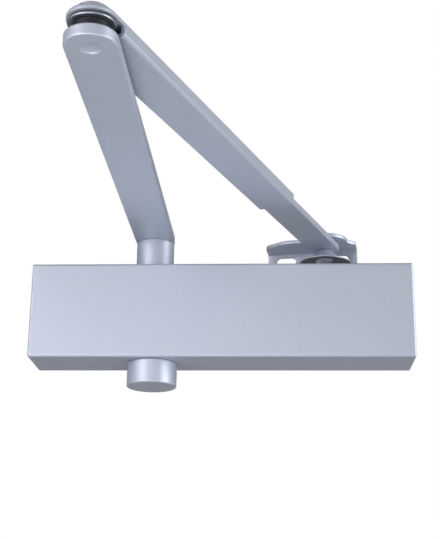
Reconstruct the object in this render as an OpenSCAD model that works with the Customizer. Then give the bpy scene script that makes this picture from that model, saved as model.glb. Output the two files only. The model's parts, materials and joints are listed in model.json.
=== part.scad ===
// Overhead door closer: rack-and-pinion body under a plain cover, folding arm and frame shoe.
// +Z up, +X right, the front faces -Y. The origin is the centre of the back face,
// where the body lies against the door.

/* [Body] */
// Length of the cover
body_w = 246; // [240:1:300]
// Height of the cover
body_h = 62; // [60:1:80]
// Depth of the cover, from the door to its front
body_d = 38; // [38:1:56]
// Sheet thickness of the cover
cover_t = 1.5; // [1:0.1:2.5]
// Rounding of the cover's outer edges
edge_r = 1.5; // [0.5:0.1:3]
// Space between the housing's web and the cover's top and bottom
cover_gap = 1; // [0.8:0.1:2]
// Space between each end of the cylinder and the cover
end_gap = 6; // [4:0.5:9]

/* [Housing] */
// Cylinder bore
bore_d = 27; // [26.5:0.1:28]
// Wall around the cylinder bore
barrel_wall = 3.2; // [2.6:0.1:3.4]
// Thickness of the web that lies against the door
web_t = 6; // [4:0.5:8]
// Distance between the fixing holes along the body
fix_span_x = 200; // [170:1:210]
// Distance between the fixing holes up the body
fix_span_z = 47; // [44:1:48]
// Diameter of the four fixing holes
fix_hole_d = 5.2; // [4:0.1:6]
// Thread diameter of the two end plugs
plug_d = 29; // [28.6:0.1:30]
// Length of the end plugs' threads
plug_t = 14; // [10:0.5:16]

/* [Spindle and piston] */
// Place of the spindle along the body, from its middle
spindle_x = -45; // [-50:1:-38]
// Number of teeth on the pinion
teeth = 12; // [11:1:12]
// Tooth module
tooth_m = 1.4; // [1.3:0.05:1.4]
// Pressure angle of the teeth
tooth_angle = 25; // [24:1:27]
// Diameter of the spindle in its bearings
shaft_d = 14; // [13:0.1:14.5]
// Width of the spindle's square ends
square_w = 10.5; // [9:0.1:11]
// How far the spindle stands out of the cover at each end
spindle_reach = 13; // [10:0.5:14]
// Opening angle of the spindle
open_angle = 170; // [120:5:180]
// Outer diameter of the bearings
bearing_d = 22; // [21:0.5:23]
// Thread diameter of the glands that close the spindle bore
gland_d = 27; // [26:0.5:28]
// Height of a gland's thread
gland_h = 8; // [6:0.5:9]
// Length of the piston's left head
left_head = 11; // [9:0.5:13]
// Length of the piston's right head
right_head = 14; // [10:0.5:16]

/* [Springs] */
// Wire of the outer spring
outer_wire = 3.6; // [3:0.1:3.8]
// Turns of the outer spring
outer_turns = 15; // [10:1:18]
// Wire of the inner spring
inner_wire = 2.2; // [1.6:0.1:2.4]
// Turns of the inner spring
inner_turns = 22; // [12:1:26]
// Travel of the spring seat from its strongest setting
seat_travel = 6.25; // [4:0.25:7]

/* [Arms] */
// Height of the hub between the cover and the main arm
hub_h = 19.8; // [18:0.1:30]
// Diameter of the hub
hub_d = 24.7; // [23:0.1:25]
// Width of the main arm
arm_w = 25.3; // [25.2:0.1:32]
// Thickness of the main arm
arm_t = 6; // [4:0.1:8]
// Spindle to elbow
arm_len = 262; // [200:1:320]
// Elbow to shoe pivot
forearm_len = 328; // [320:1:360]
// Gap between the main arm and the forearm tube
elbow_gap = 2.5; // [1.5:0.1:4]
// Width of the forearm tube
tube_w = 23.8; // [22:0.1:28]
// Height of the forearm tube
tube_h = 8.4; // [7.6:0.1:12]
// Wall of the forearm tube
tube_wall = 1.8; // [1.2:0.1:2]
// Length of the forearm tube, from the elbow
tube_len = 233; // [200:1:240]
// Length of the rod that slides in the tube
rod_len = 210; // [180:1:240]
// Direction of the main arm at rest, from +X
arm_turn = -90.85; // [-95:0.05:-85]
// Direction of the forearm at rest, from +X
forearm_turn = 68.8; // [60:0.1:75]

/* [Shoe] */
// Turn of the shoe at rest
shoe_turn = -7.7; // [-12:0.1:12]
// Pivot to the shoe's left edge
shoe_left = 42.6; // [38:0.1:50]
// Pivot to the shoe's right edge
shoe_right = 21.5; // [20:0.1:30]
// Pivot to the front of the shoe's back plate
shoe_back = 18.7; // [18.5:0.1:22]
// Radius of the shoe's nose around the pivot
nose_r = 16.1; // [14:0.1:20]
// Pivot to the front of the flange's wing
wing_front = 4.3; // [2:0.1:8]
// Pivot to the end of the wing's straight front
wing_left = 27.5; // [20:0.5:34]
// Height of the shoe's back plate
shoe_h = 28; // [25:0.5:36]
// Sheet thickness of the shoe
shoe_t = 2.5; // [2:0.1:3]
// Distance between the two screw slots
slot_span = 38; // [34:0.5:44]
// Length of each screw slot
slot_len = 14; // [9:0.5:15]
// Width of each screw slot
slot_w = 6.5; // [5:0.1:7]
// Diameter of the cup under the shoe pivot
cup_d = 36; // [26:0.5:36]

/* [Cap] */
// Diameter of the cap over the spindle's lower end
cap_d = 32; // [28:0.1:36]
// Height of the cap
cap_h = 15.5; // [15.4:0.1:18]
// Wall of the cap
cap_t = 1.5; // [1:0.1:2]

/* [Hidden] */
$fn = 64;

// clearances
run = 0.05;          // radial, between a shaft and its hole
side = 0.1;          // axial, between faces that turn on each other
loose = 0.5;         // around pieces that must not touch
eps = 0.01;          // overlap of cutting tools

// colours
silver = [0.74, 0.76, 0.80];
plated = [0.80, 0.81, 0.84];
steel = [0.62, 0.63, 0.66];
cast = [0.66, 0.67, 0.68];
nylon = [0.08, 0.08, 0.09];
rubber = [0.05, 0.05, 0.05];
bronze = [0.66, 0.50, 0.30];

// body
axis_y = -body_d / 2;
half_w = body_w / 2;
half_h = body_h / 2;
web_h = half_h - cover_t - cover_gap;         // half height of the housing
web_w = half_w - cover_t - loose;             // half length of the housing's web
barrel_end = half_w - cover_t - end_gap;      // half length of the cylinder
barrel_d = bore_d + 2 * barrel_wall;
cover_back = 0.3;                             // the cover stops short of the door
nose_d = shaft_d + 5;                         // gland nose around the spindle
nose_h = 2.5;                                 // and how far it stands out of the cover
slot_clear = 1;
boss_wall = 2.8;                              // around the glands
clip_x = 80;
clip_w = 12;
clip_t = 0.8;
clip_leg = 4;                                 // behind the web, in a notch
clip_hook = 5;                                // in front of the web
plug_hex = 11;
plug_groove = 2.1;                            // depth of the seal groove
stop_d = 18;                                  // pin on the left plug that stops the piston
seal_d = shaft_d + 6;
seal_h = 4;
thread_depth = 14;                            // of the spindle's threaded ends
screw_d = 8;                                  // arm screw and power screw
screw_hole = screw_d + 0.4;                   // through the arm
neck_d = 16;                                  // of the hub, inside the main arm
washer_h = 1.6;

// teeth
pitch_r = teeth * tooth_m / 2;
base_r = pitch_r * cos(tooth_angle);
tip_r = pitch_r + tooth_m;
root_r = pitch_r - 1.25 * tooth_m;
tooth_pitch = PI * tooth_m;
backlash = 0.08;                              // on each flank, in the rack
gear_h = 24;
travel = pitch_r * open_angle * PI / 180;
collar_d = 17;
bearing_h = 6;
bearing_z = web_h - gland_h - bearing_h;      // lower face of the upper bearing

// piston, from the spindle axis
window_end = tip_r + 1.5;
window_l = -(travel + window_end);
window_y = tip_r + loose;
piston_l = spindle_x + window_l - left_head;
piston_r = spindle_x + window_end + right_head;
ball_d = 5;
ball_lift = 0.8;
port_d = 3.4;
ball_x = piston_l + 1 + ball_lift + run + ball_d / 2;

// springs
pilot_h = 4;
spring_l = piston_r - pilot_h;
collar_t = 3;
collar_x = barrel_end - plug_t - side - collar_t;
seat_t = 7;
seat_x = collar_x - 1 - seat_travel - seat_t;
outer_spring_d = bore_d - 2.9;
inner_spring_d = outer_spring_d - 2 * outer_wire - 2.2;
pilot_d = inner_spring_d - 2 * inner_wire - 0.8;

// valves
valve_y = axis_y - 12;
valve_z = 14.5;
valve_d = 7;
valve_len = 24;
valve_rib = 10;
valve_head = 10;                              // length of the thick part
stem_r = 2.8;
needle_r = 0.8;
needle_h = 4.8;
valve_groove = 13;                            // from the head to the seal groove
valve_end = barrel_end;

// heights of the arms
hub_z = half_h + 0.6;
arm_z = half_h + hub_h;
arm_top = arm_z + arm_t;
tube_z = arm_top + elbow_gap;
tube_top = tube_z + tube_h;
rod_z = tube_z + tube_wall + run;
rod_t = tube_h - 2 * tube_wall - 2 * run;
rod_w = tube_w - 2 * tube_wall - 4 * run;
skirt_h = 3.2;                                // of the tube's rounded end
bush_h = 5.2;                                 // foot of the elbow bush
bush_wall = 2;                                // around the elbow pin
ring_h = 1.5;                                 // bright ring above the foot
ring_d = tube_w - 1.2;
rivet_d = 9.6;
rivet_h = 1;
rivet_sink = 1;                               // depth of the rivet below the arm's face
elbow_open = 9.4;                             // the tube is open below up to here
pivot_d = 10;
clamp_x = tube_len - 14;
clamp_d = 6;
nut_h = 3.2;
nut_w = 10;
head_gap = 0.8;                               // between the clamp nut and the screw's head
head_h = 3;
pad_h = 1.2;

// places of the pivots
elbow = [spindle_x + arm_len * cos(arm_turn), axis_y + arm_len * sin(arm_turn)];
shoe_pivot = elbow + forearm_len * [cos(forearm_turn), sin(forearm_turn)];
flange_z = rod_z + rod_t + 0.6;
flange_top = flange_z + shoe_t;
slot_drop = 5.6;                              // flange to the middle of the slots
shoulder_y = 5;                               // front of the flange's full width, from the pivot
bend = 2.5;                                   // outer radius of the shoe's bend
pivot_bore = 8;
cup_top = rod_z - side;
cup_h = 10;
cup_seat = 5.6;                               // height of the face that the stud's head holds

// ---- helpers ----

module on_spindle() translate([spindle_x, axis_y, 0]) children();
module along_arm() translate([spindle_x, axis_y, 0]) rotate(arm_turn) children();
module at_elbow() translate([elbow.x, elbow.y, 0]) rotate(forearm_turn) children();
module at_shoe() translate([shoe_pivot.x, shoe_pivot.y, 0]) rotate(shoe_turn) children();
module at_valve(up) translate([-valve_end, valve_y, up * valve_z]) rotate([0, 90, 0]) children();

// turns children so that their z axis runs along +X, from the place given
module along_x(x, y = axis_y, z = 0) translate([x, y, z]) rotate([0, 90, 0]) children();

module tube_ring(outer, inner, h) difference() {
    cylinder(d = outer, h = h);
    translate([0, 0, -1]) cylinder(d = inner, h = h + 2);
}

module rounded_rect(w, h, r) {
    square([w - 2 * r, h], center = true);
    square([w, h - 2 * r], center = true);
    for (x = [-1, 1], y = [-1, 1])
        translate([x * (w / 2 - r), y * (h / 2 - r)]) circle(r);
}

// disc with rounded edges, standing on z = 0
module soft_disc(d, h, r) rotate_extrude() intersection() {
    translate([0, h / 2]) rounded_rect(d, h, r);
    square([d, h]);
}

// flat bar along +X with rounded long edges, from x = a to x = b
module soft_bar(a, b, w, h, r)
    translate([a, 0, h / 2]) rotate([90, 0, 90]) linear_extrude(b - a) rounded_rect(w, h, r);

module o_ring(mean_d, section) rotate_extrude() translate([mean_d / 2, 0]) circle(d = section, $fn = 24);

// straight drilled passage between two points
module passage(a, b, d) {
    v = b - a;
    translate(a) rotate([0, acos(v.z / norm(v)), atan2(v.y, v.x)]) cylinder(d = d, h = norm(v), $fn = 24);
}

// coil spring along +X from 0 to len, as a swept ring of points
module coil(mean_r, wire, turns, len, hand) {
    sides = 6;
    steps = 12;
    rings = turns * steps;
    rise = len - wire;
    pts = [for (i = [0:rings], j = [0:sides - 1])
        let (a = hand * 360 * i / steps, b = 360 * j / sides, r = mean_r + wire / 2 * cos(b))
        [wire / 2 + rise * i / rings + wire / 2 * sin(b), r * cos(a), r * sin(a)]];
    walls = [for (i = [0:rings - 1], j = [0:sides - 1])
        let (k = (j + 1) % sides, p = i * sides, q = (i + 1) * sides)
        [p + j, q + j, q + k, p + k]];
    first = [for (j = [0:sides - 1]) j];
    last = [for (j = [0:sides - 1]) rings * sides + sides - 1 - j];
    faces = concat(walls, [first, last]);
    polyhedron(pts, hand > 0 ? faces : [for (f = faces) [for (n = [len(f) - 1:-1:0]) f[n]]]);
}

// ---- teeth ----

function inv(a) = tan(a) * 180 / PI - a;
function half_tooth(r) = 90 / teeth + inv(tooth_angle) - inv(acos(min(1, base_r / r)));
flank = [for (i = [0:4]) base_r + (tip_r - base_r) * i / 4];

// pinion outline with a tooth gap towards -Y
module pinion_outline() polygon([for (t = [0:teeth - 1])
    let (mid = -90 + 360 * (t + 0.5) / teeth)
    each concat(
        [root_r * [cos(mid - half_tooth(base_r)), sin(mid - half_tooth(base_r))]],
        [for (r = flank) r * [cos(mid - half_tooth(r)), sin(mid - half_tooth(r))]],
        [for (i = [4:-1:0]) let (r = flank[i]) r * [cos(mid + half_tooth(r)), sin(mid + half_tooth(r))]],
        [root_r * [cos(mid + half_tooth(base_r)), sin(mid + half_tooth(base_r))]])]);

// opening in the piston, with the rack along its front side
module piston_window() {
    rack_tip = -(pitch_r - tooth_m);
    rack_root = -(pitch_r + 1.25 * tooth_m);
    tip_half = tooth_pitch / 4 - backlash - tooth_m * tan(tooth_angle);
    root_half = tooth_pitch / 4 - backlash + 1.25 * tooth_m * tan(tooth_angle);
    first = floor((window_end - root_half) / tooth_pitch);
    last = -floor((-window_l - root_half) / tooth_pitch);
    polygon(concat(
        [[window_l, window_y], [window_end, window_y], [window_end, rack_root]],
        [for (k = [first:-1:last]) each [
            [k * tooth_pitch + root_half, rack_root], [k * tooth_pitch + tip_half, rack_tip],
            [k * tooth_pitch - tip_half, rack_tip], [k * tooth_pitch - root_half, rack_root]]],
        [[window_l, rack_root]]));
}

// ---- body ----

module cover_block() intersection() {
    translate([0, -body_d, -half_h]) linear_extrude(body_h) intersection() {
        translate([0, body_d]) rounded_rect(body_w, 2 * body_d, edge_r);
        translate([-half_w, 0]) square([body_w, body_d - cover_back]);
    }
    translate([-half_w, 0, 0]) rotate([90, 0, 90]) linear_extrude(body_w)
        rounded_rect(2 * body_d, body_h, edge_r);
    rotate([90, 0, 0]) linear_extrude(body_d) rounded_rect(body_w, body_h, edge_r);
}

module cover() color(silver) difference() {
    cover_block();
    translate([-half_w + cover_t, -body_d + cover_t, -half_h + cover_t])
        cube([body_w - 2 * cover_t, body_d, body_h - 2 * cover_t]);
    // slots that let the cover slide on over the spindle
    on_spindle() translate([0, 0, -half_h - 1]) {
        cylinder(d = nose_d + 2 * slot_clear, h = body_h + 2);
        translate([-nose_d / 2 - slot_clear, 0, 0])
            cube([nose_d + 2 * slot_clear, body_d, body_h + 2]);
    }
}

module housing() color(cast) difference() {
    union() {
        along_x(-barrel_end) cylinder(d = barrel_d, h = 2 * barrel_end);
        translate([-web_w, -web_t, -web_h]) cube([2 * web_w, web_t, 2 * web_h]);
        translate([-barrel_end, axis_y, -barrel_d / 4]) cube([2 * barrel_end, -axis_y, barrel_d / 2]);
        on_spindle() translate([0, 0, -web_h]) cylinder(d = gland_d + 2 * boss_wall, h = 2 * web_h);
        for (s = [-1, 1]) along_x(-barrel_end, valve_y, s * valve_z)
            cylinder(d = valve_rib, h = barrel_end + spindle_x);
    }
    along_x(-barrel_end - 1) cylinder(d = bore_d, h = 2 * barrel_end + 2);
    for (s = [-1, 1]) along_x(s > 0 ? barrel_end - plug_t : -barrel_end - 1)
        cylinder(d = plug_d, h = plug_t + 1);
    on_spindle() translate([0, 0, -web_h - 1]) cylinder(d = bearing_d, h = 2 * web_h + 2);
    for (s = [-1, 1]) on_spindle() translate([0, 0, s > 0 ? web_h - gland_h : -web_h - 1])
        cylinder(d = gland_d, h = gland_h + 1);
    for (x = [-1, 1], z = [-1, 1])
        translate([x * fix_span_x / 2, 1, z * fix_span_z / 2]) rotate([90, 0, 0])
            cylinder(d = fix_hole_d, h = web_t + 2);
    for (s = [-1, 1]) valve_bore(s);
    at_clips(clip_w + 2 * side) translate([-clip_t, -clip_leg - side]) square([clip_t + 1, clip_leg + 1]);
}

// stepped bore of a valve, with its seat and its oil passages
module valve_bore(s) {
    at_valve(s) rotate_extrude() polygon([
        [0, -1], [valve_d / 2 + run, -1], [valve_d / 2 + run, valve_head + 2 * side],
        [stem_r + side, valve_head + 2 * side], [stem_r + side, valve_len - 4.5],
        [needle_r + side, valve_len + 1.5], [needle_r + side, valve_len + 18], [0, valve_len + 18]]);
    inlet_x = -valve_end + valve_len - 5;
    port_x = s > 0 ? piston_l + 2 : inlet_x;
    outlet_x = -valve_end + valve_len + 17;
    wall = [valve_y - axis_y, s * valve_z];
    near = wall * (bore_d / 2 - 1) / norm(wall);
    passage([inlet_x, valve_y, s * valve_z], [port_x, axis_y + near[0], near[1]], 1.8);
    passage([outlet_x, valve_y, s * valve_z], [outlet_x, axis_y + near[0], near[1]], 1.8);
}

// extrudes a section on the web's edges at the four clips: depth across, height above the web up
module at_clips(w) for (x = [-1, 1], z = [0, 1])
    mirror([0, 0, z]) translate([x * clip_x - w / 2, 0, web_h]) rotate([90, 0, 90]) linear_extrude(w) children();

// four spring clips on the web's edges, which hold the cover by its top and bottom
module cover_clips() color(steel) at_clips(clip_w) polygon([
    [0, -clip_leg], [0, cover_gap], [-web_t - clip_t, cover_gap], [-web_t - clip_t, -clip_hook],
    [-web_t, -clip_hook], [-web_t, 0], [-clip_t, 0], [-clip_t, -clip_leg]]);

module plug(stop) difference() {
    union() {
        cylinder(d = plug_d, h = plug_t);
        translate([0, 0, plug_t - eps]) cylinder(d = stop_d, h = stop + eps);
    }
    translate([0, 0, plug_t - 4]) tube_ring(plug_d + 2, plug_d - 2 * plug_groove, 2.4);
}

module left_plug() color(steel) along_x(-barrel_end) difference() {
    plug(piston_l - 0.3 - (plug_t - barrel_end));
    translate([0, 0, -1]) cylinder(d = plug_hex, h = 7, $fn = 6);
}

module right_plug() color(steel) along_x(barrel_end) mirror([0, 0, 1]) difference() {
    plug(0);
    translate([0, 0, -1]) cylinder(d = screw_d + 2 * run, h = plug_t + 2);
}

module plug_seals() color(rubber) for (s = [-1, 1])
    along_x(s * (barrel_end - plug_t + 2.8)) o_ring(plug_d - plug_groove - 0.1, plug_groove - 0.1);

module bearing() color(bronze) tube_ring(bearing_d, shaft_d + 2 * run, bearing_h);

// gland with a nose around the spindle, a seal pocket below and two spanner holes
module gland() color(steel) difference() {
    union() {
        cylinder(d = gland_d, h = gland_h);
        cylinder(d = nose_d, h = half_h + nose_h - web_h + gland_h);
    }
    translate([0, 0, -1]) cylinder(d = shaft_d + 2 * run, h = body_h);
    translate([0, 0, -1]) cylinder(d = seal_d, h = seal_h + 1);
    for (s = [-1, 1]) translate([s * (gland_d + nose_d) / 4, 0, gland_h - 3]) cylinder(d = 2.5, h = 5);
}

module shaft_seal() color(rubber) tube_ring(seal_d, shaft_d + 2 * run, seal_h);

module at_upper(z) on_spindle() translate([0, 0, z]) children();
module at_lower(z) on_spindle() mirror([0, 0, 1]) translate([0, 0, z]) children();

module upper_bearing() at_upper(bearing_z) bearing();
module lower_bearing() at_lower(bearing_z) bearing();
module upper_gland() at_upper(web_h - gland_h) gland();
module lower_gland() at_lower(web_h - gland_h) gland();
module upper_shaft_seal() at_upper(web_h - gland_h) shaft_seal();
module lower_shaft_seal() at_lower(web_h - gland_h) shaft_seal();

// cap that snaps on the lower gland's nose
module spindle_cap() color(plated) at_lower(half_h) difference() {
    translate([0, 0, 0.1]) soft_disc(cap_d, cap_h - 0.1, 0.8);
    translate([0, 0, -1]) cylinder(d = cap_d - 2 * cap_t, h = 1 + 1.2);
    translate([0, 0, -1]) cylinder(d = nose_d, h = 1 + nose_h + 0.2);
    translate([0, 0, 1]) cylinder(d = shaft_d + 2, h = cap_h - cap_t - 1);
    translate([0, 0, 1.1]) tube_ring(cap_d - 2 * cap_t, nose_d + 3, cap_h - cap_t - 1.1);
}

// ---- spindle, piston and springs ----

module pinion_shaft() color(steel) on_spindle() difference() {
    union() {
        translate([0, 0, -gear_h / 2]) linear_extrude(gear_h) pinion_outline();
        translate([0, 0, -bearing_z + side]) cylinder(d = collar_d, h = bearing_z - side - gear_h / 2);
        translate([0, 0, gear_h / 2]) cylinder(d = collar_d, h = bearing_z - side - gear_h / 2);
        translate([0, 0, -half_h - 3]) cylinder(d = shaft_d, h = body_h + 6);
        intersection() {
            translate([0, 0, -half_h - spindle_reach]) cylinder(d = shaft_d - 0.6, h = body_h + 2 * spindle_reach);
            cube([square_w, square_w, 4 * body_h], center = true);
        }
    }
    for (z = [0, 1]) mirror([0, 0, z]) translate([0, 0, half_h + spindle_reach - thread_depth])
        cylinder(d = screw_d - 2, h = thread_depth + 1);
}

module piston() color(steel) difference() {
    along_x(piston_l) cylinder(d = bore_d - 2 * run, h = piston_r - piston_l);
    translate([spindle_x, axis_y, -bore_d]) linear_extrude(2 * bore_d) piston_window();
    // valve in the left head
    along_x(piston_l - 1) cylinder(d = port_d, h = left_head + 2);
    along_x(piston_l - 1) cylinder(d = ball_d + 1, h = 1 + 1 + ball_lift + run + ball_d / 2);
    along_x(ball_x - eps) cylinder(d1 = ball_d + 1, d2 = port_d, h = ball_d / 2);
    along_x(piston_l - 1) cylinder(d = ball_d + 4, h = 2);
    // hollow that keeps the springs central
    along_x(piston_r - pilot_h) tube_ring(bore_d - 2.4, pilot_d, pilot_h + 1);
}

module check_ring() color(steel) along_x(piston_l) tube_ring(ball_d + 4, port_d - 1, 1 - run);
module check_ball() color(steel) translate([ball_x, axis_y, 0]) sphere(d = ball_d);

module outer_spring() color(steel) translate([spring_l, axis_y, 0])
    coil((outer_spring_d - outer_wire) / 2, outer_wire, outer_turns, seat_x - spring_l, 1);
module inner_spring() color(steel) translate([spring_l, axis_y, 0])
    coil((inner_spring_d - inner_wire) / 2, inner_wire, inner_turns, seat_x - spring_l, -1);

module spring_seat() color(steel) difference() {
    union() {
        along_x(seat_x) cylinder(d = bore_d - 1, h = seat_t);
        along_x(seat_x - pilot_h) cylinder(d = pilot_d, h = pilot_h + 1);
    }
    along_x(seat_x - pilot_h - 1) cylinder(d = screw_d + 2 * run, h = seat_t + pilot_h + 2);
}

module power_screw() color(steel) difference() {
    union() {
        along_x(seat_x - pilot_h - 1) cylinder(d = screw_d, h = barrel_end - seat_x + pilot_h + 1);
        along_x(collar_x) cylinder(d = 13, h = collar_t);
    }
    along_x(barrel_end - 5) cylinder(d = 4 / cos(30), h = 6, $fn = 6);
}

// ---- valves ----

module valve() color(plated) difference() {
    rotate_extrude() polygon([
        [0, 0], [valve_d / 2 - 0.4, 0], [valve_d / 2, 0.4], [valve_d / 2, valve_head], [stem_r, valve_head],
        [stem_r, valve_groove], [stem_r - 0.9, valve_groove],
        [stem_r - 0.9, valve_groove + 2], [stem_r, valve_groove + 2],
        [stem_r, valve_len - 0.6 - needle_h], [needle_r, valve_len - 0.6], [0, valve_len - 0.6]]);
    translate([-valve_d, -0.5, -1]) cube([2 * valve_d, 1, 2.4]);
}
module valve_seal() color(rubber) translate([0, 0, valve_groove + 1]) o_ring(2 * stem_r - 0.8, 0.9);

module closing_valve() at_valve(1) valve();
module closing_valve_seal() at_valve(1) valve_seal();
module latching_valve() at_valve(-1) valve();
module latching_valve_seal() at_valve(-1) valve_seal();

// ---- main arm ----

module arm_hub() color(plated) on_spindle() difference() {
    union() {
        translate([0, 0, hub_z]) soft_disc(hub_d, arm_z - hub_z, 0.4);
        translate([0, 0, arm_z - 1]) cylinder(d = neck_d, h = arm_t + 1);
    }
    translate([0, 0, hub_z - 1]) cylinder(d = nose_d + 2, h = half_h + nose_h + loose - hub_z + 1);
    translate([0, 0, hub_z]) cylinder(d = shaft_d + 1, h = half_h + 4 - hub_z);
    translate([-square_w / 2 - run, -square_w / 2 - run, half_h + 3])
        cube([square_w + 2 * run, square_w + 2 * run, spindle_reach - 2.5]);
    translate([0, 0, half_h + spindle_reach]) cylinder(d = screw_hole, h = body_h);
}

module main_arm() color(silver) difference() {
    along_arm() translate([0, 0, arm_z]) {
        soft_disc(arm_w, arm_t, 0.8);
        soft_bar(0, arm_len, arm_w, arm_t, 0.8);
        translate([arm_len, 0, 0]) soft_disc(arm_w, arm_t, 0.8);
    }
    on_spindle() translate([0, 0, arm_z - 1]) cylinder(d = neck_d, h = arm_t + 2);
    translate([elbow.x, elbow.y, arm_z]) {
        translate([0, 0, -1]) cylinder(d = pivot_bore, h = arm_t + 2);
        translate([0, 0, -1]) cylinder(d = rivet_d, h = 1 + rivet_sink + rivet_h);
        translate([0, 0, -eps]) cylinder(d1 = rivet_d + 1.4, d2 = rivet_d, h = 0.7);
    }
}

module arm_washer() color(plated) on_spindle() translate([0, 0, arm_top])
    tube_ring(neck_d + 1, screw_hole, washer_h);

module arm_screw() color(plated) on_spindle() {
    tip = half_h + spindle_reach;
    translate([0, 0, arm_top + washer_h]) intersection() {
        cylinder(d = 13 / cos(30), h = 5.3, $fn = 6);
        translate([0, 0, -1]) cylinder(d1 = 19, d2 = 13, h = 6.5);
    }
    translate([0, 0, tip - thread_depth + 1]) cylinder(d = screw_d - 2, h = thread_depth);
    translate([0, 0, tip]) cylinder(d = screw_d, h = arm_top + washer_h + 0.4 - tip);
}

// ---- elbow ----

// pin riveted into the main arm; the forearm turns on its shoulder
module elbow_pin() color(plated) translate([elbow.x, elbow.y, 0]) {
    translate([0, 0, arm_z + rivet_sink]) difference() {
        cylinder(d = rivet_d, h = rivet_h);
        translate([0, 0, -13.1]) sphere(r = 13.7);
    }
    translate([0, 0, arm_z + rivet_sink + 0.5]) cylinder(d = pivot_bore, h = arm_t - rivet_sink - 0.5 + eps);
    translate([0, 0, arm_top]) cylinder(d = pivot_d, h = tube_top - arm_top + 0.6);
    translate([0, 0, tube_top + 0.5]) soft_disc(16, 2.6, 0.8);
}

// dark nylon bush pressed into the tube's top wall, with a wide foot on the main arm
module elbow_bush() color(nylon) translate([elbow.x, elbow.y, 0]) difference() {
    union() {
        translate([0, 0, arm_top + side]) cylinder(d = 17.6, h = bush_h);
        translate([0, 0, arm_top + side]) cylinder(d = pivot_d + 2 * bush_wall, h = tube_top + 0.3 - arm_top - side);
    }
    translate([0, 0, arm_top - 1]) cylinder(d = pivot_d + 2 * run, h = tube_h + 10);
}

module elbow_washer() color(plated) translate([elbow.x, elbow.y, arm_top + side + bush_h]) difference() {
    soft_disc(ring_d, ring_h, 0.5);
    translate([0, 0, -1]) cylinder(d = pivot_d + 2 * bush_wall, h = ring_h + 2);
}

// ---- forearm ----

module tube_section() difference() {
    rounded_rect(tube_w, tube_h, 2);
    rounded_rect(tube_w - 2 * tube_wall, tube_h - 2 * tube_wall, 0.4);
}

module forearm_tube() color(silver) at_elbow() difference() {
    union() {
        translate([elbow_open, 0, tube_z + tube_h / 2]) rotate([90, 0, 90])
            linear_extrude(tube_len - elbow_open) tube_section();
        translate([0, 0, tube_z + tube_h / 2]) rotate([90, 0, 90]) linear_extrude(elbow_open) intersection() {
            tube_section();
            translate([-tube_w, tube_h / 2 - skirt_h]) square([2 * tube_w, skirt_h + 1]);
        }
        translate([0, 0, tube_z]) rotate_extrude() intersection() {
            translate([0, tube_h / 2]) tube_section();
            translate([0, tube_h - skirt_h]) square([tube_w, skirt_h + 1]);
        }
    }
    translate([0, 0, tube_z - 1]) cylinder(d = pivot_d + 2 * bush_wall, h = tube_h + 2);
    translate([clamp_x, 0, tube_top - tube_wall - 1]) cylinder(d = clamp_d + 2 * run, h = tube_wall + 2);
}

module clamp_nut() color(plated) at_elbow() translate([clamp_x, 0, tube_top]) difference() {
    intersection() {
        cylinder(d = nut_w / cos(30), h = nut_h, $fn = 6);
        cylinder(d1 = nut_w + 5, d2 = nut_w + 0.4, h = nut_h + 0.2);
    }
    translate([0, 0, -1]) cylinder(d = clamp_d + 2 * run, h = nut_h + 2);
}

module clamp_pad() color(bronze) at_elbow() translate([clamp_x, 0, rod_z + rod_t]) cylinder(d = 5, h = pad_h);

// hexagon head screw that presses the pad on the rod
module clamp_screw() color(plated) at_elbow() translate([clamp_x, 0, 0]) {
    clamp_low = rod_z + rod_t + pad_h;
    head_low = tube_top + nut_h + head_gap;
    translate([0, 0, clamp_low]) cylinder(d = clamp_d, h = head_low - clamp_low + 0.3);
    translate([0, 0, head_low]) intersection() {
        cylinder(d = nut_w / cos(30), h = head_h, $fn = 6);
        cylinder(d1 = nut_w + 5, d2 = nut_w + 0.2, h = head_h + 0.3);
    }
}

module forearm_rod() color(silver) at_elbow() translate([0, 0, rod_z]) difference() {
    union() {
        soft_bar(forearm_len - rod_len, forearm_len, rod_w, rod_t, 0.6);
        translate([forearm_len, 0, 0]) soft_disc(rod_w, rod_t, 0.6);
    }
    translate([forearm_len, 0, -1]) cylinder(d = pivot_bore + 2 * run, h = rod_t + 2);
}

// ---- shoe ----

// flange seen from above, with the pivot at the origin and the back plate towards +Y
module flange_outline() {
    circle(nose_r);
    // wing on the left, with a slanted end
    polygon([[0, -wing_front], [-wing_left, -wing_front], [-shoe_left, shoulder_y], [0, shoulder_y]]);
    // shoulder on the right, from the nose's widest point
    polygon([[0, 0], [nose_r, 0], [shoe_right, shoulder_y], [0, shoulder_y]]);
    translate([-shoe_left, shoulder_y])
        square([shoe_left + shoe_right, shoe_back + shoe_t - shoulder_y]);
}

module slot_pair() {
    mid = (shoe_right - shoe_left) / 2;
    for (s = [-1, 1]) translate([mid + s * slot_span / 2, -slot_drop]) {
        square([slot_len - slot_w, slot_w], center = true);
        for (e = [-1, 1]) translate([e * (slot_len - slot_w) / 2, 0]) circle(d = slot_w);
    }
}

module shoe() color(silver) at_shoe() difference() {
    // flange and back plate as one bent sheet, trimmed to the flange's outline
    intersection() {
        translate([-shoe_left, 0, 0]) rotate([90, 0, 90]) linear_extrude(shoe_left + shoe_right) bent_sheet();
        translate([0, 0, flange_top - shoe_h]) linear_extrude(shoe_h) flange_outline();
    }
    translate([0, 0, flange_z - 1]) cylinder(d = pivot_bore, h = shoe_t + 2);
    translate([0, shoe_back + shoe_t + 1, flange_z]) rotate([90, 0, 0]) linear_extrude(shoe_t + 2) slot_pair();
}

// section of the bent sheet: depth across, height up
module bent_sheet() {
    translate([-2 * nose_r, flange_z]) square([2 * nose_r + shoe_back + shoe_t - bend, shoe_t]);
    translate([shoe_back, flange_top - shoe_h]) square([shoe_t, shoe_h - bend]);
    translate([shoe_back + shoe_t - bend, flange_top - bend]) circle(bend);
}

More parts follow.
